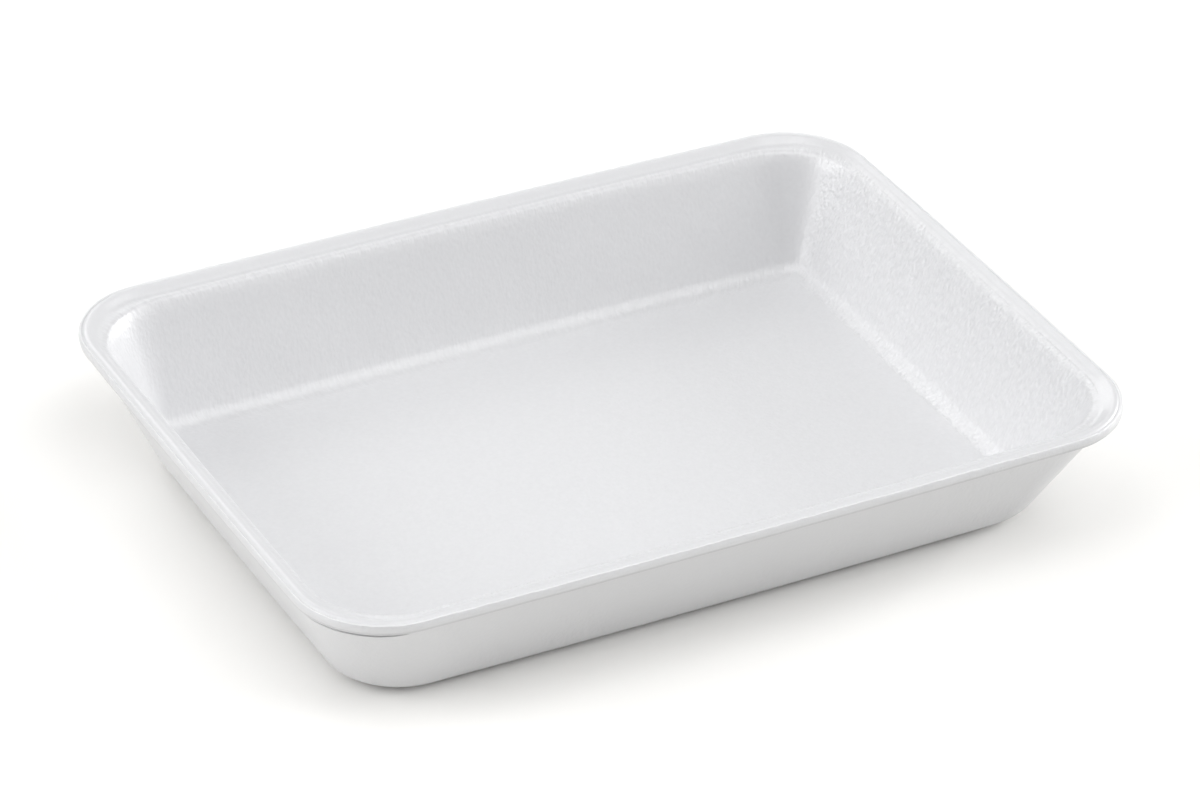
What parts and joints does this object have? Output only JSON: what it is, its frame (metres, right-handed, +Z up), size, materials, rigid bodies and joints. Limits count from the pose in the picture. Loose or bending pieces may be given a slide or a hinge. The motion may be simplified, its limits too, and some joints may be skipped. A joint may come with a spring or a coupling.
{
  "type": "foam tray",
  "caption": "Shallow rectangular tray formed from one sheet of white foam, with sloping walls, rounded corners and a rolled rim with a bead inside it.",
  "frame": {"origin": "the middle of the flat underside", "axes": "+Z up out of the open top, +X along the long sides"},
  "size_m": [0.2298, 0.1718, 0.0361],
  "materials": {
    "foam": "satin skin with a very fine grain"
  },
  "bodies": {
    "root": {"tray": "foam"}
  },
  "joints": []
}
